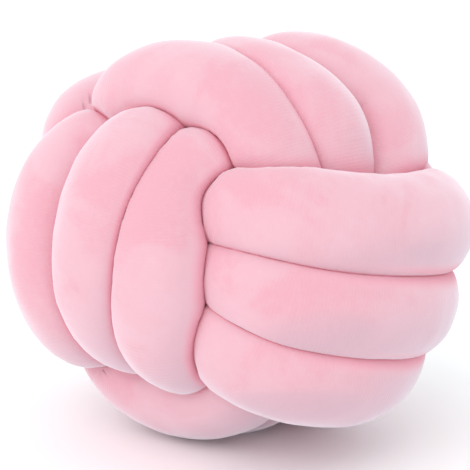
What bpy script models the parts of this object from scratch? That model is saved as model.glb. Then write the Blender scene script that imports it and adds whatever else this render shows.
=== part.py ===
"""Ball cushion: one long stuffed velvet tube tied in a three-turn ball knot.

Lengths are in metres and +Z is up. The origin lies on the surface that the cushion rests on,
under the middle of its box.

The knot has three bands, and each band is three side-by-side turns of the same tube:

    band 0 goes round the right and left sides, where its strands run front to back
    band 1 goes round the front and back sides, where its strands run up and down
    band 2 goes round the top and the bottom, where its strands run left to right

Each band passes over the next one, and dives under the one before it. The tube's ends are
joined out of sight, so the whole cushion is one closed, filled loop.
"""
import math
from typing import NamedTuple

import bmesh
import bpy
import numpy as np

MILLIMETRE = 0.001

# The even knot: where the tube's centreline runs
REACH = 0.109  # from the middle of the ball to the middle of a strand
BEND_RADIUS = 0.062  # at both ends of a strand
OUTER_RISE = 0.003  # how much further out the outer two strands of a band lie
SPACING_MIDDLE = 0.050  # from strand to strand at mid-length
SPACING_SHOULDER = 0.047  # where a strand starts to bend inwards
SPACING_DIVE = 0.035  # where it dives under the next band
SPACING_CORE = 0.030  # inside the ball

# Inside the ball, from one turn to the next and from one band to the next
LINK_SHIFT = 0.75
CORNER_BEND = ((0.027, 0.037, 0.031), (0.027, 0.007, 0.028))
CORE_CROSSING = ((0.031, 0.031, 0.016), (0.014, -0.002, -0.021), (0.012, -0.035, -0.030))

# The tube's cross-section, and how it gives where strands press on each other or bend
TUBE_RADIUS = 0.033
SIDE_SWELL = 0.08  # share by which a free tube is wider than high
GAP_HALF = 0.0025  # from a strand's surface to the plane halfway to its neighbour
SOFTNESS = 14.0  # a higher power gives sharper corners where strands meet
NEAR_STRETCH = 0.101  # length of tube that counts as the same strand
SIGHT = 0.168  # no strand further off than this can touch
BEND_LIMIT = 0.85  # share of a bend's radius that the inside of the tube may fill
FAR = 1e3
TINY = 1e-6

# How the ball lies on its surface
LEAN_TURN = math.radians(51)
LEAN = math.radians(8)
SAG = 0.88
FLOOR_PRESS = 0.006

# How finely the loop is cut
ROUTE_STEPS = 900
RINGS = 330
RING_SIDES = 18
CHORD_POWER = 0.8
FINE_STEPS = 24

VELVET_PINK = (0.92, 0.56, 0.63, 1.0)
VELVET_ROUGHNESS = 0.85


class Stray(NamedTuple):
    """How far one strand strays from the even knot, in millimetres.

    `out` moves it away from the middle of the ball and `along` lengthwise. The three
    `across` values move its low end, middle and high end sideways, and the two `reach`
    values lengthen its ends.
    """

    band: int
    side: int
    place: int  # -1, 0 or 1, from one side of the band to the other
    out: float = 0
    across_low: float = 0
    across: float = 0
    across_high: float = 0
    along: float = 0
    reach_low: float = 0
    reach_high: float = 0


RIGHT, LEFT = (0, 1), (0, -1)
BACK, FRONT = (1, 1), (1, -1)
TOP, BOTTOM = (2, 1), (2, -1)

# Columns: band and side, place, out, across_low, across, across_high, along, reach_low, reach_high
STRAYS = (
    Stray(*RIGHT, 1, 0, -10, -15, -10, 0, 0, 15),
    Stray(*RIGHT, 0, 10, -10, -15, -15, 5, 10, 5),
    Stray(*RIGHT, -1, 0, -5, -10, -10, -10, 0, 0),
    Stray(*LEFT, 1, 15, 10, 20, -5, -15, 15, 0),
    Stray(*LEFT, 0, 10),
    Stray(*LEFT, -1, 5),
    Stray(*BACK, 1, -25),
    Stray(*BACK, 0, -15),
    Stray(*BACK, -1, -15),
    Stray(*FRONT, 1, -15, -5, -10, -20, 0, 5, 0),
    Stray(*FRONT, 0, 5, 0, 5, 0, 0, 5, 15),
    Stray(*FRONT, -1, 5, 10, 0, -10, -5, 15, 5),
    Stray(*TOP, 1, 10, -15, -25, 5, 0, 0, -5),
    Stray(*TOP, 0, 5, 0, -25, -10, -5, -5, 10),
    Stray(*TOP, -1, -5, -20, -10, 0, 0, 5, -5),
    Stray(*BOTTOM, 1, -5),
    Stray(*BOTTOM, 0, 5, 10, -5, -5, -10, 0, 0),
    Stray(*BOTTOM, -1, -5, -10, 0, 10, -5, -5, 5),
)
SHOULDER_OUT = 0.6  # share of `out` that reaches a strand's shoulders
SHOULDER_ALONG = 0.7  # share of `along` that reaches them


class Travel(NamedTuple):
    """How the tube goes through one band.

    It meets `side` first, comes in at the `entry` end of the strands, and its turns follow
    each other in `order`.
    """

    side: int
    entry: int
    order: int


TRAVELS = (Travel(1, -1, 1), Travel(1, 1, 1), Travel(-1, 1, 1))


class Station(NamedTuple):
    """One point of a turn: lengthwise `run`, sideways `across` and `out` from the middle."""

    out: float
    run: float
    across: float


def strand_stations(band, side, place):
    """The points that one strand passes through, from its low end to its high end."""
    stray = next((row for row in STRAYS if row[:3] == (band, side, place)), Stray(band, side, place))
    shift = {name: value * MILLIMETRE for name, value in stray._asdict().items()}
    straight = REACH - BEND_RADIUS
    slant = math.sqrt(0.5)
    shoulder = straight + (BEND_RADIUS + OUTER_RISE * abs(place)) * slant + SHOULDER_OUT * shift["out"]
    middle = REACH + OUTER_RISE * abs(place) + shift["out"]
    return [
        Station(side * straight, -BEND_RADIUS, place * SPACING_DIVE),
        Station(
            side * shoulder,
            -BEND_RADIUS * slant + SHOULDER_ALONG * shift["along"] - shift["reach_low"],
            place * SPACING_SHOULDER + shift["across_low"],
        ),
        Station(side * middle, shift["along"], place * SPACING_MIDDLE + shift["across"]),
        Station(
            side * shoulder,
            BEND_RADIUS * slant + SHOULDER_ALONG * shift["along"] + shift["reach_high"],
            place * SPACING_SHOULDER + shift["across_high"],
        ),
        Station(side * straight, BEND_RADIUS, place * SPACING_DIVE),
    ]


def knot_route():
    """The closed route of the tube's centreline through all nine turns, as an array."""
    route = []
    for band, (side, entry, order) in enumerate(TRAVELS):
        stations = []
        for place in (-order, 0, order):
            stations += strand_stations(band, side, place)[::-entry]
            stations.append(Station(0, -entry * BEND_RADIUS, place * SPACING_CORE))
            stations += strand_stations(band, -side, place)[::entry]
            if place != order:
                beside = (place + LINK_SHIFT * order) * SPACING_CORE
                stations.append(Station(0, entry * BEND_RADIUS, beside))
        if band < len(TRAVELS) - 1:
            for out, run, across in CORNER_BEND:
                stations.append(Station(-side * out, entry * run, order * across))
        route += [np.roll(station, band) for station in stations]
    return np.array(route + list(CORE_CROSSING))


def laid_down(points):
    """The points of the upright knot, leaning a little and sunk under its own weight."""
    axis = np.array([math.sin(LEAN_TURN), -math.cos(LEAN_TURN), 0.0])
    turned = (
        points * math.cos(LEAN)
        - np.cross(axis, points) * math.sin(LEAN)
        + np.outer(points @ axis, axis) * (1 - math.cos(LEAN))
    )
    turned[:, 2] *= SAG
    return turned


def smooth_loop(points, count):
    """A closed curve through the points, as evenly spaced points, and its length."""
    total = len(points)
    after, before = np.roll(points, -1, 0), np.roll(points, 1, 0)
    span = np.linalg.norm(after - points, axis=1) ** CHORD_POWER
    previous = np.roll(span, 1)
    rows = np.arange(total)
    system = np.zeros((total, total))
    system[rows, rows] = 2 * (previous + span)
    system[rows, (rows - 1) % total] += span
    system[rows, (rows + 1) % total] += previous
    slopes = np.linalg.solve(
        system,
        3 * ((span / previous)[:, None] * (points - before) + (previous / span)[:, None] * (after - points)),
    )
    starts = np.concatenate([[0], np.cumsum(span)])

    def at(places):
        index = np.clip(np.searchsorted(starts, places, side="right") - 1, 0, total - 1)
        part = ((places - starts[index]) / span[index])[:, None]
        lead, trail = slopes[index] * span[index, None], slopes[(index + 1) % total] * span[index, None]
        return (
            (2 * part**3 - 3 * part**2 + 1) * points[index]
            + (part**3 - 2 * part**2 + part) * lead
            + (-2 * part**3 + 3 * part**2) * after[index]
            + (part**3 - part**2) * trail
        )

    fine = np.linspace(0, starts[-1], FINE_STEPS * total + 1)
    fine_points = at(fine)
    travelled = np.concatenate([[0], np.cumsum(np.linalg.norm(np.diff(fine_points, axis=0), axis=1))])
    wanted = np.arange(count) * travelled[-1] / count
    return at(np.interp(wanted, travelled, fine)), travelled[-1]


def carried_frames(centres):
    """Two cross directions at each centre, which turn as little as possible and meet again."""
    count = len(centres)
    along = np.roll(centres, -1, 0) - np.roll(centres, 1, 0)
    along /= np.linalg.norm(along, axis=1)[:, None]
    side = np.zeros_like(centres)
    carried = np.cross(along[0], (0.3, 0.5, 0.8))
    for step in range(count + 1):
        here = step % count
        carried = carried - along[here] * (carried @ along[here])
        carried /= np.linalg.norm(carried)
        if step < count:
            side[here] = carried
    up = np.cross(along, side)
    miss = math.atan2(carried @ up[0], carried @ side[0])
    turn = (-miss * np.arange(count) / count)[:, None]
    return side * np.cos(turn) + up * np.sin(turn), up * np.cos(turn) - side * np.sin(turn)


def squeezed_radii(centres, rays, which, length):
    """The tube's radius along each ray.

    A free tube is wider than it is high, because it is pulled tight over the ball. Towards
    another strand it ends halfway to it, and on the inside of a bend it ends before the
    bend's centre, with round corners between these limits.
    """
    count = len(centres)
    step = length / count
    bend = (np.roll(centres, -1, 0) + np.roll(centres, 1, 0) - 2 * centres)[which] / step**2
    inward = np.maximum((rays * bend[:, None, :]).sum(-1), TINY)
    halfway = np.full(rays.shape[:2], FAR)
    numbers = np.arange(count)
    for ring, place in enumerate(which):
        apart = np.abs(numbers - place)
        apart = np.minimum(apart, count - apart) * step
        offset = centres - centres[place]
        square = (offset**2).sum(1)
        others = (apart > NEAR_STRETCH) & (square < SIGHT**2)
        facing = np.maximum(rays[ring] @ offset[others].T, TINY)
        halfway[ring] = (square[others] / (2 * facing)).min(1)
    outward = centres[which] / np.linalg.norm(centres[which], axis=1)[:, None]
    facing_out = np.maximum((rays * outward[:, None, :]).sum(-1), 0)
    free = TUBE_RADIUS * (1 + SIDE_SWELL * (1 - facing_out**2))
    limits = (free, halfway - GAP_HALF, BEND_LIMIT / inward)
    return sum(limit**-SOFTNESS for limit in limits) ** (-1 / SOFTNESS)


def free_rings():
    """The tube's surface as rings of points, before the floor presses on it."""
    centres, length = smooth_loop(laid_down(knot_route()), ROUTE_STEPS)
    side, up = carried_frames(centres)
    which = np.arange(RINGS) * ROUTE_STEPS // RINGS
    angles = np.arange(RING_SIDES) * 2 * math.pi / RING_SIDES
    rays = (
        side[which][:, None, :] * np.cos(angles)[None, :, None]
        + up[which][:, None, :] * np.sin(angles)[None, :, None]
    )
    radii = squeezed_radii(centres, rays, which, length)
    return centres[which][:, None, :] + rays * radii[:, :, None]


def settled(rings):
    """The rings pressed flat on z = 0, with the middle of their box at x = y = 0."""
    rings = rings.copy()
    floor = rings[:, :, 2].min() + FLOOR_PRESS
    rings[:, :, 2] = np.maximum(rings[:, :, 2], floor)
    low, high = rings.min((0, 1)), rings.max((0, 1))
    middle = (low + high) / 2
    return rings - np.array([middle[0], middle[1], floor])


def velvet():
    """Pale pink velvet."""
    material = bpy.data.materials.new("pink velvet")
    material.use_nodes = True
    shader = material.node_tree.nodes["Principled BSDF"]
    shader.inputs["Base Color"].default_value = VELVET_PINK
    shader.inputs["Roughness"].default_value = VELVET_ROUGHNESS
    material.diffuse_color = VELVET_PINK
    return material


def add_knot_tube():
    """The whole cushion, as one closed mesh of triangles."""
    rings = settled(free_rings())
    count, sides = rings.shape[:2]
    mesh = bmesh.new()
    vertices = [[mesh.verts.new(point) for point in ring] for ring in rings.tolist()]
    for ring in range(count):
        here, there = vertices[ring], vertices[(ring + 1) % count]
        for corner in range(sides):
            beside = (corner + 1) % sides
            mesh.faces.new((here[corner], here[beside], there[beside], there[corner]))
    bmesh.ops.triangulate(mesh, faces=mesh.faces[:], quad_method="SHORT_EDGE")
    bmesh.ops.recalc_face_normals(mesh, faces=mesh.faces[:])
    data = bpy.data.meshes.new("knot_tube")
    mesh.to_mesh(data)
    mesh.free()
    data.shade_smooth()
    data.materials.append(velvet())
    cushion = bpy.data.objects.new("knot_tube", data)
    bpy.context.scene.collection.objects.link(cushion)
    return cushion


def main():
    """Clear the scene and build the cushion."""
    for old in list(bpy.data.objects):
        bpy.data.objects.remove(old, do_unlink=True)
    add_knot_tube()


if __name__ == "__main__":
    main()
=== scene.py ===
"""Dresses the ball cushion: one long stuffed tube of pale pink velvet, tied in a ball knot.

Lengths are in metres and +Z is up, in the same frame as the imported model. The knot has three
bands of side-by-side strands, and each band passes over the next and dives under the one
before it.
"""

import logging
import math
from dataclasses import astuple, dataclass
from enum import Enum
from typing import Any, Union

import bpy
import numpy as np
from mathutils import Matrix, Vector


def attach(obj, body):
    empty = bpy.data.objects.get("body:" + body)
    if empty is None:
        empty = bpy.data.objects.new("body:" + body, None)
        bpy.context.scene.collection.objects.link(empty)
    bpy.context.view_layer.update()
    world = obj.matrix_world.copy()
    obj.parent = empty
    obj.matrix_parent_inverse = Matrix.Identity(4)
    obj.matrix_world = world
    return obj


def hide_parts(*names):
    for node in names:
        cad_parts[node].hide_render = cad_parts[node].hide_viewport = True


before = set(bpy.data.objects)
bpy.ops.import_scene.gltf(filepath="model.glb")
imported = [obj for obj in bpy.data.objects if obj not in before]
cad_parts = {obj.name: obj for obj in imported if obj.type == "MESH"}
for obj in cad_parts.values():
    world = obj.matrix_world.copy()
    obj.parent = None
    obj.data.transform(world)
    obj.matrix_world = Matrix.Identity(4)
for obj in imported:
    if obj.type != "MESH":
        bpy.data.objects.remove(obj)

LOG = logging.getLogger("ball_cushion")
MILLIMETRE = 0.001
FAR = 1e3
TINY = 1e-6
TUBE_PLACE = "tube_place"

Point = tuple[float, float, float]


class Side(Enum):
    """A side of the ball, as the band that covers it and the way that it faces."""

    RIGHT = (0, 1)
    LEFT = (0, -1)
    BACK = (1, 1)
    FRONT = (1, -1)
    TOP = (2, 1)
    BOTTOM = (2, -1)


@dataclass(frozen=True)
class Stray:
    """How far one strand strays from the even knot, in millimetres.

    `out` moves it away from the middle of the ball and `along` lengthwise. The three
    `across` values move its low end, middle and high end sideways, and the two `reach`
    values lengthen its ends.
    """

    side: Side
    place: int
    out: float = 0
    across_low: float = 0
    across: float = 0
    across_high: float = 0
    along: float = 0
    reach_low: float = 0
    reach_high: float = 0


# Columns: side, place, out, across_low, across, across_high, along, reach_low, reach_high
STRAYS = (
    Stray(Side.RIGHT, 1, 0, -10, -15, -10, 0, 0, 15),
    Stray(Side.RIGHT, 0, 10, -10, -15, -15, 5, 10, 5),
    Stray(Side.RIGHT, -1, 0, -5, -10, -10, -10, 0, 0),
    Stray(Side.LEFT, 1, 15, 10, 20, -5, -15, 15, 0),
    Stray(Side.LEFT, 0, 10),
    Stray(Side.LEFT, -1, 5),
    Stray(Side.BACK, 1, -25),
    Stray(Side.BACK, 0, -15),
    Stray(Side.BACK, -1, -15),
    Stray(Side.FRONT, 1, -15, -5, -10, -20, 0, 5, 0),
    Stray(Side.FRONT, 0, 5, 0, 5, 0, 0, 5, 15),
    Stray(Side.FRONT, -1, 5, 10, 0, -10, -5, 15, 5),
    Stray(Side.TOP, 1, 10, -15, -25, 5, 0, 0, -5),
    Stray(Side.TOP, 0, 5, 0, -25, -10, -5, -5, 10),
    Stray(Side.TOP, -1, -5, -20, -10, 0, 0, 5, -5),
    Stray(Side.BOTTOM, 1, -5),
    Stray(Side.BOTTOM, 0, 5, 10, -5, -5, -10, 0, 0),
    Stray(Side.BOTTOM, -1, -5, -10, 0, 10, -5, -5, 5),
)


@dataclass(frozen=True)
class Travel:
    """How the tube goes through one band.

    It meets `side` first, comes in at the `entry` end of the strands, and its turns follow
    each other in `order`.
    """

    side: int
    entry: int
    order: int


@dataclass(frozen=True)
class BallKnot:
    """The route that the tube's centreline takes through the knot."""

    reach: float = 0.109
    bend_radius: float = 0.062
    outer_rise: float = 0.003
    spacing_middle: float = 0.050
    spacing_shoulder: float = 0.047
    spacing_dive: float = 0.035
    spacing_core: float = 0.030
    link_shift: float = 0.75
    shoulder_out: float = 0.6
    shoulder_along: float = 0.7
    travels: tuple[Travel, ...] = (Travel(1, -1, 1), Travel(1, 1, 1), Travel(-1, 1, 1))
    corner_bend: tuple[Point, ...] = ((0.027, 0.037, 0.031), (0.027, 0.007, 0.028))
    core_crossing: tuple[Point, ...] = (
        (0.031, 0.031, 0.016),
        (0.014, -0.002, -0.021),
        (0.012, -0.035, -0.030),
    )
    lean_turn: float = 51.0
    lean: float = 8.0
    sag: float = 0.88

    def strand(self, band: int, facing: int, place: int) -> list[Point]:
        """The points that one strand passes through.

        Args:
            band: The band's number, 0 to 2.
            facing: 1 or -1, for the two sides that the band covers.
            place: -1, 0 or 1, from one side of the band to the other.

        Returns:
            Points as out, run and across, from the strand's low end to its high end.
        """
        side = Side((band, facing))
        rows = (row for row in STRAYS if (row.side, row.place) == (side, place))
        stray = next(rows, Stray(side, place))
        out, low, across, high, along, reach_low, reach_high = (
            value * MILLIMETRE for value in astuple(stray)[2:]
        )
        straight = self.reach - self.bend_radius
        slant = math.sqrt(0.5)
        rise = self.outer_rise * abs(place)
        shoulder = straight + (self.bend_radius + rise) * slant + self.shoulder_out * out
        shoulder_run = self.bend_radius * slant
        slid = self.shoulder_along * along
        return [
            (facing * straight, -self.bend_radius, place * self.spacing_dive),
            (facing * shoulder, slid - shoulder_run - reach_low, place * self.spacing_shoulder + low),
            (facing * (self.reach + rise + out), along, place * self.spacing_middle + across),
            (facing * shoulder, slid + shoulder_run + reach_high, place * self.spacing_shoulder + high),
            (facing * straight, self.bend_radius, place * self.spacing_dive),
        ]

    def upright_route(self) -> np.ndarray:
        """The closed route through all nine turns of the upright knot, from inside the core."""
        route: list[Point] = list(self.core_crossing)
        for band, travel in enumerate(self.travels):
            side, entry, order = astuple(travel)
            points: list[Point] = []
            for place in (-order, 0, order):
                points += self.strand(band, side, place)[::-entry]
                points.append((0.0, -entry * self.bend_radius, place * self.spacing_core))
                points += self.strand(band, -side, place)[::entry]
                if place != order:
                    beside = (place + self.link_shift * order) * self.spacing_core
                    points.append((0.0, entry * self.bend_radius, beside))
            if band < len(self.travels) - 1:
                points += [
                    (-side * out, entry * run, order * across) for out, run, across in self.corner_bend
                ]
            route += [tuple(np.roll(point, band)) for point in points]
        return np.array(route)

    def route(self) -> np.ndarray:
        """The route of the knot as it lies, leaning a little and sunk under its own weight."""
        points = self.upright_route()
        turn, lean = math.radians(self.lean_turn), math.radians(self.lean)
        axis = np.array([math.sin(turn), -math.cos(turn), 0.0])
        leaning = (
            points * math.cos(lean)
            - np.cross(axis, points) * math.sin(lean)
            + np.outer(points @ axis, axis) * (1 - math.cos(lean))
        )
        leaning[:, 2] *= self.sag
        return leaning


@dataclass(frozen=True)
class SmoothLoop:
    """A closed curve that runs smoothly through the points of a route."""

    points: np.ndarray
    chord_power: float = 0.8
    fine_steps: int = 24

    def spans(self) -> np.ndarray:
        """The length of each piece of the curve, in the curve's own measure."""
        return np.linalg.norm(np.roll(self.points, -1, 0) - self.points, axis=1) ** self.chord_power

    def slopes(self) -> np.ndarray:
        """The curve's slope at each point, so that its curvature has no jumps."""
        points, span = self.points, self.spans()
        total = len(points)
        after, before = np.roll(points, -1, 0), np.roll(points, 1, 0)
        previous = np.roll(span, 1)
        rows = np.arange(total)
        system = np.zeros((total, total))
        system[rows, rows] = 2 * (previous + span)
        system[rows, (rows - 1) % total] += span
        system[rows, (rows + 1) % total] += previous
        forward = (previous / span)[:, None] * (after - points)
        backward = (span / previous)[:, None] * (points - before)
        return np.linalg.solve(system, 3 * (forward + backward))

    def evenly(self, count: int) -> tuple[np.ndarray, float]:
        """Evenly spaced points on the curve.

        Args:
            count: How many points.

        Returns:
            The points, and the length of the whole loop.
        """
        points, span, slopes = self.points, self.spans(), self.slopes()
        total = len(points)
        after = np.roll(points, -1, 0)
        starts = np.concatenate([[0], np.cumsum(span)])

        def at(places: np.ndarray) -> np.ndarray:
            """The points at the given places, in the curve's own measure."""
            index = np.clip(np.searchsorted(starts, places, side="right") - 1, 0, total - 1)
            part = ((places - starts[index]) / span[index])[:, None]
            lead = slopes[index] * span[index, None]
            trail = slopes[(index + 1) % total] * span[index, None]
            return (
                (2 * part**3 - 3 * part**2 + 1) * points[index]
                + (part**3 - 2 * part**2 + part) * lead
                + (-2 * part**3 + 3 * part**2) * after[index]
                + (part**3 - part**2) * trail
            )

        fine = np.linspace(0, starts[-1], self.fine_steps * total + 1)
        steps = np.linalg.norm(np.diff(at(fine), axis=0), axis=1)
        travelled = np.concatenate([[0], np.cumsum(steps)])
        wanted = np.arange(count) * travelled[-1] / count
        return at(np.interp(wanted, travelled, fine)), float(travelled[-1])


Operand = Union["Socket", float, Point, tuple[float, float, float, float]]


@dataclass(frozen=True)
class Socket:
    """One output of a shader node, which takes part in sums as a number does."""

    sheet: "NodeSheet"
    link: bpy.types.NodeSocket

    def maths(self, operation: str, *operands: Operand) -> "Socket":
        """The result of a Math node on this value and the operands."""
        values = dict(enumerate((self, *operands)))
        return self.sheet.node("ShaderNodeMath", {"operation": operation}, values)

    def __add__(self, other: Operand) -> "Socket":
        """This value plus the other."""
        return self.maths("ADD", other)

    def __radd__(self, other: Operand) -> "Socket":
        """The other value plus this one."""
        return self.maths("ADD", other)

    def __sub__(self, other: Operand) -> "Socket":
        """This value minus the other."""
        return self.maths("SUBTRACT", other)

    def __rsub__(self, other: Operand) -> "Socket":
        """The other value minus this one."""
        return self.maths("MULTIPLY", -1.0) + other

    def __mul__(self, other: Operand) -> "Socket":
        """This value times the other."""
        return self.maths("MULTIPLY", other)

    def __rmul__(self, other: Operand) -> "Socket":
        """The other value times this one."""
        return self.maths("MULTIPLY", other)

    def sine(self) -> "Socket":
        """The sine of this value."""
        return self.maths("SINE")

    def stepped(self, low: float, high: float, start: float = 0.0, end: float = 1.0) -> "Socket":
        """This value, passed through a smooth step.

        Args:
            low: The value that gives `start`.
            high: The value that gives `end`.
            start: The result at and below `low`.
            end: The result at and above `high`.

        Returns:
            The stepped value.
        """
        return self.sheet.node(
            "ShaderNodeMapRange",
            {"interpolation_type": "SMOOTHSTEP"},
            {"Value": self, "From Min": low, "From Max": high, "To Min": start, "To Max": end},
        )


class NodeSheet:
    """The nodes of one material."""

    def __init__(self, name: str) -> None:
        """Starts a material with a plain surface shader.

        Args:
            name: The material's name.
        """
        self.material = bpy.data.materials.new(name)
        self.material.use_nodes = True
        self.tree = self.material.node_tree
        self.surface = self.tree.nodes["Principled BSDF"]

    def node(
        self,
        kind: str,
        settings: dict[str, Any],
        inputs: dict[Union[int, str], Operand],
        output: Union[int, str] = 0,
    ) -> Socket:
        """Adds a node.

        Args:
            kind: Blender's name for the type of node.
            settings: The node's own settings, which come before its sockets.
            inputs: The value or link of each socket, by number or name.
            output: The number or name of the output that is wanted.

        Returns:
            That output.
        """
        made = self.tree.nodes.new(kind)
        for name, value in settings.items():
            setattr(made, name, value)
        for name, value in inputs.items():
            self.fill(made.inputs[name], value)
        return Socket(self, made.outputs[output])

    def fill(self, socket: bpy.types.NodeSocket, value: Operand) -> None:
        """Gives a socket its value or its link."""
        if isinstance(value, Socket):
            self.tree.links.new(value.link, socket)
        else:
            socket.default_value = value

    def mix(self, share: Operand, first: Operand, second: Operand) -> Socket:
        """A colour between two colours.

        Args:
            share: How much of the second colour, 0 to 1.
            first: The colour at 0.
            second: The colour at 1.

        Returns:
            The mixed colour.
        """
        return self.node("ShaderNodeMix", {"data_type": "RGBA"}, {0: share, 6: first, 7: second}, 2)

    def vector(self, operation: str, *operands: Operand) -> Socket:
        """The result of a Vector Math node on the operands."""
        result = "Value" if operation in ("LENGTH", "DOT_PRODUCT") else "Vector"
        values = dict(enumerate(operands))
        return self.node("ShaderNodeVectorMath", {"operation": operation}, values, result)

    def noise(self, place: Socket, size: float, detail: float = 2.0, distortion: float = 0.0) -> Socket:
        """Soft random patches.

        Args:
            place: Where on the surface.
            size: The width of a patch, in metres.
            detail: How many finer layers are laid over it.
            distortion: How much the patches are bent.

        Returns:
            A value around one half.
        """
        return self.node(
            "ShaderNodeTexNoise",
            {"noise_dimensions": "3D"},
            {"Vector": place, "Scale": 1 / size, "Detail": detail, "Distortion": distortion},
        )

    def pile(self) -> Socket:
        """The surface shader's own output."""
        return Socket(self, self.surface.outputs[0])

    def cover(self, shader: Socket) -> None:
        """Makes the shader the one that shows."""
        self.fill(self.tree.nodes["Material Output"].inputs["Surface"], shader)

    def dress(self, **inputs: Operand) -> None:
        """Sets the surface shader's sockets, with _ for each space in their names."""
        for name, value in inputs.items():
            self.fill(self.surface.inputs[name.replace("_", " ")], value)


@dataclass(frozen=True)
class BrushedPatch:
    """A place where a hand has stroked the pile another way."""

    middle: Point
    half_size: Point
    push: float
    solid_share: float = 0.55

    def mask(self, sheet: NodeSheet, place: Socket) -> Socket:
        """A soft mask over the patch.

        Args:
            sheet: The material's nodes.
            place: Where on the surface.

        Returns:
            1 in the middle of the patch, and 0 outside it.
        """
        scale = tuple(1 / size for size in self.half_size)
        apart = sheet.vector("SUBTRACT", place, self.middle)
        distance = sheet.vector("LENGTH", sheet.vector("MULTIPLY", apart, scale))
        return distance.stepped(self.solid_share, 1.0, 1.0, 0.0)


@dataclass(frozen=True)
class Pucker:
    """A short crease where the velvet is gathered, which deepens from its start to its end."""

    start: Point
    end: Point
    facing: Point
    width: float = 0.0018
    depth: float = 0.0022
    flatness: float = 0.8
    fade: float = 0.8

    def mask(self, sheet: NodeSheet, place: Socket) -> Socket:
        """A soft mask along the crease.

        Args:
            sheet: The material's nodes.
            place: Where on the surface.

        Returns:
            1 along the deep end of the crease, and 0 beside it.
        """
        run = Vector(self.end) - Vector(self.start)
        apart = sheet.vector("SUBTRACT", place, self.start)
        share = sheet.vector("DOT_PRODUCT", apart, tuple(run / run.length_squared))
        share = share.maths("MINIMUM", 1.0).maths("MAXIMUM", 0.0)
        offset = sheet.vector("SUBTRACT", apart, sheet.vector("MULTIPLY", share, tuple(run)))
        sunk = sheet.vector("DOT_PRODUCT", offset, self.facing) * self.flatness
        beside = sheet.vector("SUBTRACT", offset, sheet.vector("MULTIPLY", sunk, self.facing))
        across = sheet.vector("LENGTH", beside).stepped(0.0, self.width, 1.0, 0.0)
        return across * share.stepped(0.0, self.fade)


# Columns: start, end, facing, width, depth
PUCKERS = (
    Pucker((-0.083, -0.066, 0.221), (-0.070, -0.072, 0.213), (0.30, -0.44, 0.85)),
    Pucker((-0.086, -0.058, 0.224), (-0.075, -0.064, 0.218), (0.35, -0.22, 0.91)),
    Pucker((-0.018, -0.090, 0.044), (-0.027, -0.089, 0.047), (0.15, -0.95, 0.28), 0.0011, 0.0007),
)

# Columns: middle, half size, push; above 0 the brushed pile looks dusky, pushed towards the painted-shade
# pink
PATCHES = (
    BrushedPatch((0.131, -0.042, 0.101), (0.040, 0.038, 0.018), 0.28),
    BrushedPatch((0.118, -0.050, 0.056), (0.040, 0.048, 0.014), 0.28),
    BrushedPatch((0.140, 0.022, 0.142), (0.020, 0.024, 0.008), 0.16),
)


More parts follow.
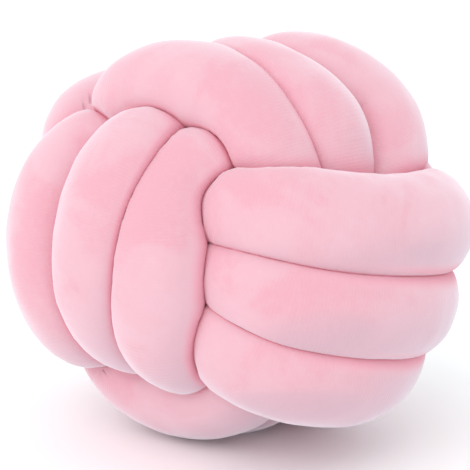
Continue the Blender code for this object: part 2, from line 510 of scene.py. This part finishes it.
@dataclass(frozen=True)
class Velvet:
    """Pale pink velvet with a short pile, fine knitted ribs and a soft sheen; its colour also holds
    painted shade on the sides that face down and right, and painted light and shade in the creases.
    """

    name: str = "pink velvet"
    pink: Point = (0.73, 0.415, 0.48)
    # deep and pale pink: random nap tone, shifted by painted light and shade where the surface faces up or
    # down
    deep_pink: Point = (0.725, 0.36, 0.43)
    pale_pink: Point = (0.735, 0.45, 0.52)
    # painted shade: a darker, cooler pink for the surfaces that face down and to the right; the brushed
    # patches are drawn in it too
    underside_pink: Point = (0.61, 0.385, 0.455)
    # painted bounce light: a brighter pink for the creases between strands, where the pile is also pressed
    # flat and loses its sheen
    tucked_pink: Point = (0.82, 0.47, 0.54)
    # painted shade: a dark pink along the puckers' folds
    fold_pink: Point = (0.48, 0.20, 0.27)
    fold_share: float = 0.9
    nap_share: float = 0.45
    fleck_share: float = 0.35
    pile_share: float = 0.20
    # painted light and shade by facing: surfaces that face up turn a deeper pink, those that face down and
    # right a paler one
    lie_share: float = 0.30
    deep_range: tuple[float, float] = (0.10, 0.50)
    pale_range: tuple[float, float] = (0.45, 0.95)
    sheen: float = 1.0
    sheen_spread: float = 0.5
    sheen_tint: Point = (0.92, 0.92, 0.97)
    # how tightly pressed the surface must be for the painted crease light
    tuck_range: tuple[float, float] = (0.95, 1.05)
    # painted bounce light: a deeper, warmer pink near the creases on the flanks that face this way, to the
    # right
    flush_way: Point = (0.62, 0.78, 0.10)
    flush_range: tuple[float, float] = (0.55, 0.95)
    flush_turn: float = 0.6
    flush_share: float = 0.85
    flush_pink: Point = (0.78, 0.35, 0.43)
    # where the painted shade comes in, by facing and by the brushed patches
    underside: tuple[float, float] = (-0.1, 0.85)
    roughness: float = 0.85
    rougher: float = 0.08
    smoother: float = 0.05
    shine: float = 0.1
    nap_size: float = 0.050
    nap_distortion: float = 0.6
    nap_range: tuple[float, float] = (0.35, 0.65)
    fine_detail: float = 3.0
    pile_size: float = 0.0016
    fleck_size: float = 0.0045
    rib_pitch: float = 0.0014
    rib_height: float = 0.00004
    rib_shade: float = 0.03
    rib_fade: float = 1.3
    pile_height: float = 0.00015
    bump_strength: float = 0.6
    patches: tuple[BrushedPatch, ...] = PATCHES
    puckers: tuple[Pucker, ...] = PUCKERS

    def material(self) -> bpy.types.Material:
        """The finished material."""
        sheet = NodeSheet(self.name)
        place = sheet.node("ShaderNodeTexCoord", {}, {}, "Object")
        nap = sheet.noise(place, self.nap_size, self.fine_detail, self.nap_distortion)
        nap = nap.stepped(*self.nap_range)
        fleck = sheet.noise(place, self.fleck_size, self.fine_detail)
        pile = sheet.noise(place, self.pile_size)
        tube_place = sheet.node("ShaderNodeAttribute", {"attribute_name": TUBE_PLACE}, {}, "Vector")
        # along the tube, how far each point faces the way of the painted shade, and how tightly it is
        # pressed to the next strand
        along, shade_facing, tuck = (
            sheet.node("ShaderNodeSeparateXYZ", {}, {0: tube_place}, axis) for axis in range(3)
        )
        rib = (along * (math.tau / self.rib_pitch)).sine()

        shade = nap * self.nap_share + fleck * self.fleck_share + pile * self.pile_share
        # the facing adds painted light and shade to the random tone
        shade = shade + shade_facing * self.lie_share + rib * self.rib_shade
        # the brushed patches push the tone towards the painted-shade pink
        for patch in self.patches:
            shade_facing = shade_facing + patch.mask(sheet, place) * patch.push
        deep, pink = self.opaque(self.deep_pink), self.opaque(self.pink)
        darker = sheet.mix(shade.stepped(*self.deep_range), deep, pink)
        lighter = sheet.mix(shade.stepped(*self.pale_range), darker, self.opaque(self.pale_pink))
        # painted shade: darker, cooler pink on the surfaces facing down and right
        colour = sheet.mix(shade_facing.stepped(*self.underside), lighter, self.opaque(self.underside_pink))

        height = rib * self.rib_height * (self.rib_fade - nap) + pile * self.pile_height
        # painted bounce light on the flanks that face right, near the creases
        normal_way = sheet.node("ShaderNodeTexCoord", {}, {}, "Normal")
        turned = sheet.vector("DOT_PRODUCT", normal_way, self.flush_way)
        facing = turned.stepped(0.0, self.flush_turn)
        painted_flank_glow = tuck.stepped(*self.flush_range) * facing * self.flush_share
        # painted light in the creases: the sheen gives way to a matted, brighter pink that stands in for
        # light bounced between the strands
        painted_crease_share = tuck.stepped(*self.tuck_range).maths("MAXIMUM", painted_flank_glow)
        painted_crease_colour = sheet.mix(painted_flank_glow, self.opaque(self.tucked_pink), self.opaque(self.flush_pink))
        # the puckers sink the bump along their folds, and paint shade into them
        for pucker in self.puckers:
            fold = pucker.mask(sheet, place) * self.fold_share
            height = height - fold * pucker.depth
            painted_crease_share = painted_crease_share.maths("MAXIMUM", fold)
            painted_crease_colour = sheet.mix(fold, painted_crease_colour, self.opaque(self.fold_pink))
        bump = {"Strength": self.bump_strength, "Distance": 1.0, "Height": height}
        normal = sheet.node("ShaderNodeBump", {}, bump)
        sheet.dress(
            Base_Color=colour,
            Roughness=nap.stepped(
                0.0, 1.0, self.roughness + self.rougher, self.roughness - self.smoother
            ),
            Normal=normal,
            Sheen_Weight=self.sheen,
            Sheen_Roughness=self.sheen_spread,
            Sheen_Tint=self.opaque(self.sheen_tint),
            Specular_IOR_Level=self.shine,
        )
        # the matted pile of the creases, coloured with the painted crease light, the painted flank glow
        # and the painted fold shade
        matted_painted_crease = sheet.node(
            "ShaderNodeBsdfPrincipled",
            {},
            {"Base Color": painted_crease_colour, "Roughness": 1.0, "Specular IOR Level": 0.0, "Normal": normal},
        )
        sheet.cover(sheet.node("ShaderNodeMixShader", {}, {0: painted_crease_share, 1: sheet.pile(), 2: matted_painted_crease}))
        return sheet.material

    @staticmethod
    def opaque(colour: Point) -> tuple[float, float, float, float]:
        """The colour with full opacity."""
        return (*colour, 1.0)


@dataclass
class VelvetTube:
    """The whole cushion: one closed, stuffed tube along the knot's route."""

    knot: BallKnot
    finish: Velvet
    name: str = "velvet_tube"
    tube_radius: float = 0.033
    side_swell: float = 0.08
    gap_half: float = -0.0013
    softness: float = 14.0
    near_stretch: float = 0.101
    sight: float = 0.168
    bend_limit: float = 0.85
    pressed_limit: float = 1.5
    middle: Point = (0.0020, 0.0101, 0.1251)
    gather_width: float = 3.0
    lump_height: float = 0.0007
    lump_length: float = 0.045
    route_steps: int = 3000
    rings: int = 1480
    ring_sides: int = 66
    evening_passes: int = 3
    # the way the painted shade faces: down and to the right, away from the key light
    nap_way: Point = (0.37, 0.47, -0.80)
    core_radius: float = 0.080
    core_density: float = 0.4
    first_side: Point = (0.3, 0.5, 0.8)
    lump_ways: tuple[Point, ...] = ((1.0, 0.4, -0.3), (-0.5, 1.1, 0.6), (0.3, -0.7, 1.2))
    lump_starts: Point = (0.3, 1.9, 4.1)

    def build(self) -> bpy.types.Object:
        """Makes the tube, dresses it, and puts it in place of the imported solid."""
        tube = self.mesh_object(*self.surface())
        tube.data.materials.append(self.finish.material())
        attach(tube, "root")
        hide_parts("knot_tube")
        return tube

    def surface(self) -> tuple[np.ndarray, np.ndarray, np.ndarray, np.ndarray]:
        """The tube's surface.

        Returns:
            The rings of points, each ring's place along the tube, and for each point how far
            it faces the way of the painted shade and how tightly it is pressed to the next strand.
        """
        centres, length = SmoothLoop(self.knot.route()).evenly(self.route_steps)
        side, up = self.carried_frames(centres)
        which = self.ring_places(centres)
        angles = np.arange(self.ring_sides) * math.tau / self.ring_sides
        rays = (
            side[which][:, None, :] * np.cos(angles)[None, :, None]
            + up[which][:, None, :] * np.sin(angles)[None, :, None]
        )
        radii, tuck = self.squeezed_radii(centres, rays, which, length)
        # how far each point faces the way of the painted shade
        shade_facing = rays @ np.array(self.nap_way)
        for _ in range(self.evening_passes):
            radii = (np.roll(radii, 1, 0) + 2 * radii + np.roll(radii, -1, 0)) / 4
        rings = centres[which][:, None, :] + rays * radii[:, :, None] + np.array(self.middle)
        rings -= rays * self.gathers(rings)[:, :, None]
        rings[:, :, 2] = np.maximum(rings[:, :, 2], 0)
        return rings, which * length / self.route_steps, shade_facing, tuck

    def ring_places(self, centres: np.ndarray) -> np.ndarray:
        """Which points of the route get a ring: fewer inside the ball, where none shows."""
        shown = np.linalg.norm(centres, axis=1) > self.core_radius
        weight = np.cumsum(np.where(shown, 1.0, self.core_density))
        wanted = (np.arange(self.rings) + 0.5) * weight[-1] / self.rings
        return np.searchsorted(weight, wanted)

    def carried_frames(self, centres: np.ndarray) -> tuple[np.ndarray, np.ndarray]:
        """Two cross directions at each centre, which turn as little as possible and meet again."""
        count = len(centres)
        along = np.roll(centres, -1, 0) - np.roll(centres, 1, 0)
        along /= np.linalg.norm(along, axis=1)[:, None]
        side = np.zeros_like(centres)
        carried = np.cross(along[0], self.first_side)
        for step in range(count + 1):
            here = step % count
            carried = carried - along[here] * (carried @ along[here])
            carried /= np.linalg.norm(carried)
            if step < count:
                side[here] = carried
        up = np.cross(along, side)
        miss = math.atan2(carried @ up[0], carried @ side[0])
        turn = (-miss * np.arange(count) / count)[:, None]
        return side * np.cos(turn) + up * np.sin(turn), up * np.cos(turn) - side * np.sin(turn)

    def squeezed_radii(
        self, centres: np.ndarray, rays: np.ndarray, which: np.ndarray, length: float
    ) -> tuple[np.ndarray, np.ndarray]:
        """The tube's radius along each ray.

        A free tube is wider than it is high, because it is pulled tight over the ball.
        Towards another strand it ends halfway to it, and on the inside of a bend it ends
        before the bend's centre, with round corners between these limits.

        Args:
            centres: Evenly spaced points of the centreline.
            rays: The directions of each ring's points.
            which: The centre that each ring belongs to.
            length: The length of the loop.

        Returns:
            One radius for each ray, and how tightly the tube is pressed to the next strand.
        """
        count = len(centres)
        step = length / count
        bend = (np.roll(centres, -1, 0) + np.roll(centres, 1, 0) - 2 * centres)[which] / step**2
        inward = np.maximum((rays * bend[:, None, :]).sum(-1), TINY)
        halfway = np.full(rays.shape[:2], FAR)
        numbers = np.arange(count)
        for ring, place in enumerate(which):
            apart = np.abs(numbers - place)
            apart = np.minimum(apart, count - apart) * step
            offset = centres - centres[place]
            square = (offset**2).sum(1)
            others = (apart > self.near_stretch) & (square < self.sight**2)
            facing = np.maximum(rays[ring] @ offset[others].T, TINY)
            halfway[ring] = (square[others] / (2 * facing)).min(1)
        outward = centres[which] / np.linalg.norm(centres[which], axis=1)[:, None]
        facing_out = np.maximum((rays * outward[:, None, :]).sum(-1), 0)
        free = self.tube_radius * (1 + self.side_swell * (1 - facing_out**2))
        free += self.lumps(centres[which][:, None, :] + rays * self.tube_radius)
        limits = (free, halfway - self.gap_half, self.bend_limit / inward)
        radii = sum(limit**-self.softness for limit in limits) ** (-1 / self.softness)
        return radii, np.minimum(free / halfway, self.pressed_limit)

    def lumps(self, points: np.ndarray) -> np.ndarray:
        """How far the uneven stuffing pushes the surface out at each point."""
        waves = np.array(self.lump_ways)
        waves *= math.tau / self.lump_length
        swell = np.sin(points @ waves.T + np.array(self.lump_starts)).prod(-1)
        return self.lump_height * swell

    def gathers(self, points: np.ndarray) -> np.ndarray:
        """How far the puckers draw the surface in at each point."""
        drawn = np.zeros(points.shape[:2])
        for pucker in self.finish.puckers:
            start, run = np.array(pucker.start), np.subtract(pucker.end, pucker.start)
            share = np.clip((points - start) @ run / (run @ run), 0, 1)
            distance = np.linalg.norm(points - start - share[..., None] * run, axis=-1)
            drawn += pucker.depth * share * np.exp(-((distance / (self.gather_width * pucker.width)) ** 2))
        return drawn

    def mesh_object(
        self, rings: np.ndarray, along: np.ndarray, shade_facing: np.ndarray, tuck: np.ndarray
    ) -> bpy.types.Object:
        """The closed mesh through the rings.

        Args:
            rings: The rings of points.
            along: Each ring's place along the tube.
            shade_facing: How far each point faces the way where shade is painted.
            tuck: How tightly each point is pressed to the next strand.

        Returns:
            The object, which keeps the three measures at each point of its mesh.
        """
        count, sides = rings.shape[:2]
        number = np.arange(count * sides).reshape(count, sides)
        after, beside = np.roll(number, -1, 0), np.roll(number, -1, 1)
        across = np.roll(after, -1, 1)
        faces = np.stack([number, beside, across, after], -1).reshape(-1, 4)
        data = bpy.data.meshes.new(self.name)
        data.from_pydata(rings.reshape(-1, 3).tolist(), [], faces.tolist())
        data.update()
        middle = Vector(self.middle)
        if sum(face.normal.dot(face.center - middle) for face in data.polygons) < 0:
            data.flip_normals()
        data.shade_smooth()
        places = np.zeros((count, sides, 3), np.float32)
        places[..., 0] = along[:, None]
        # how far each point faces the way of the painted shade
        places[..., 1] = shade_facing
        places[..., 2] = tuck
        kept = data.attributes.new(TUBE_PLACE, "FLOAT_VECTOR", "POINT")
        kept.data.foreach_set("vector", places.ravel())
        tube = bpy.data.objects.new(self.name, data)
        bpy.context.scene.collection.objects.link(tube)
        return tube


@dataclass(frozen=True)
class PaleFloor:
    """A plain pale floor under the cushion."""

    colour: Point = (0.97, 0.97, 0.97)
    roughness: float = 0.9
    shine: float = 0.1
    half_size: float = 6.0

    def build(self) -> bpy.types.Object:
        """Makes the floor, which isn't part of the cushion."""
        edge = self.half_size
        data = bpy.data.meshes.new("pale_floor")
        corners = [(-edge, -edge, 0), (edge, -edge, 0), (edge, edge, 0), (-edge, edge, 0)]
        data.from_pydata(corners, [], [(0, 1, 2, 3)])
        sheet = NodeSheet("pale floor")
        sheet.dress(
            Base_Color=Velvet.opaque(self.colour),
            Roughness=self.roughness,
            Specular_IOR_Level=self.shine,
        )
        data.materials.append(sheet.material)
        floor = bpy.data.objects.new("pale_floor", data)
        bpy.context.scene.collection.objects.link(floor)
        return floor


@dataclass(frozen=True)
class SoftLight:
    """A soft, even lamp that points at the cushion."""

    name: str
    azimuth: float
    elevation: float
    distance: float
    spread: float
    strength: float
    colour: Point = (1.0, 1.0, 1.0)

    def build(self, target: Point) -> bpy.types.Object:
        """Hangs the lamp.

        Args:
            target: The point that it lights.

        Returns:
            The lamp.
        """
        data = bpy.data.lights.new(self.name, "SUN")
        data.angle = math.radians(self.spread)
        data.energy = self.strength
        data.color = self.colour
        lamp = bpy.data.objects.new(self.name, data)
        aim(lamp, target, self.azimuth, self.elevation, self.distance)
        bpy.context.scene.collection.objects.link(lamp)
        return lamp


@dataclass(frozen=True)
class Studio:
    """Soft white light from all around, with a warm key light high on the left."""

    target: Point
    daylight: Point = (0.94, 1.0, 1.0)
    strength: float = 1.12
    lights: tuple[SoftLight, ...] = (
        SoftLight(
            "key_light",
            azimuth=10,
            elevation=38,
            distance=2.0,
            spread=60,
            strength=0.9,
            colour=(1.0, 0.82, 0.85),
        ),
    )

    def build(self) -> None:
        """Lights the scene."""
        scene = bpy.context.scene
        scene.view_settings.view_transform = "Standard"
        world = bpy.data.worlds.new("white_studio")
        world.use_nodes = True
        background = world.node_tree.nodes["Background"]
        background.inputs["Color"].default_value = Velvet.opaque(self.daylight)
        background.inputs["Strength"].default_value = self.strength
        scene.world = world
        for light in self.lights:
            light.build(self.target)


@dataclass(frozen=True)
class PhotoCamera:
    """The camera at the photograph's viewing angle."""

    target: Point
    azimuth: float = 51.5
    elevation: float = 11.7
    distance: float = 0.782
    lens: float = 89.5
    shift_x: float = -0.032
    shift_y: float = 0.011
    sensor_width: float = 36.0
    nearest: float = 0.01

    def build(self) -> bpy.types.Object:
        """Makes the camera and gives it to the scene."""
        data = bpy.data.cameras.new("photo_camera")
        data.lens = self.lens
        data.sensor_width = self.sensor_width
        data.shift_x = self.shift_x
        data.shift_y = self.shift_y
        data.clip_start = self.nearest
        camera = bpy.data.objects.new("photo_camera", data)
        aim(camera, self.target, self.azimuth, self.elevation, self.distance)
        bpy.context.scene.collection.objects.link(camera)
        bpy.context.scene.camera = camera
        return camera


def aim(
    thing: bpy.types.Object, target: Point, azimuth: float, elevation: float, distance: float
) -> None:
    """Places a lamp or a camera so that it points at the target.

    Args:
        thing: What is placed.
        target: The point that it faces.
        azimuth: Degrees round the target, where 0 looks along +Y and 90 along -X.
        elevation: Degrees above the target.
        distance: How far from the target it stands.
    """
    turn, rise = math.radians(azimuth), math.radians(elevation)
    level = math.cos(rise)
    back = Vector((math.sin(turn) * level, -math.cos(turn) * level, math.sin(rise)))
    thing.location = Vector(target) + back * distance
    thing.rotation_euler = (-back).to_track_quat("-Z", "Y").to_euler()


def main() -> None:
    """Builds the cushion, the floor, the light and the camera."""
    logging.basicConfig(level=logging.INFO, format="%(name)s: %(message)s")
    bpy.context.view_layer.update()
    tube = VelvetTube(BallKnot(), Velvet())
    made = tube.build()
    LOG.info("%s: %d points, %d faces", made.name, len(made.data.vertices), len(made.data.polygons))
    floor = PaleFloor().build()
    LOG.info("%s: %.1f m wide", floor.name, floor.dimensions.x)
    Studio(tube.middle).build()
    camera = PhotoCamera(tube.middle).build()
    LOG.info("%s: %.0f mm lens", camera.name, camera.data.lens)


if __name__ == "__main__":
    main()
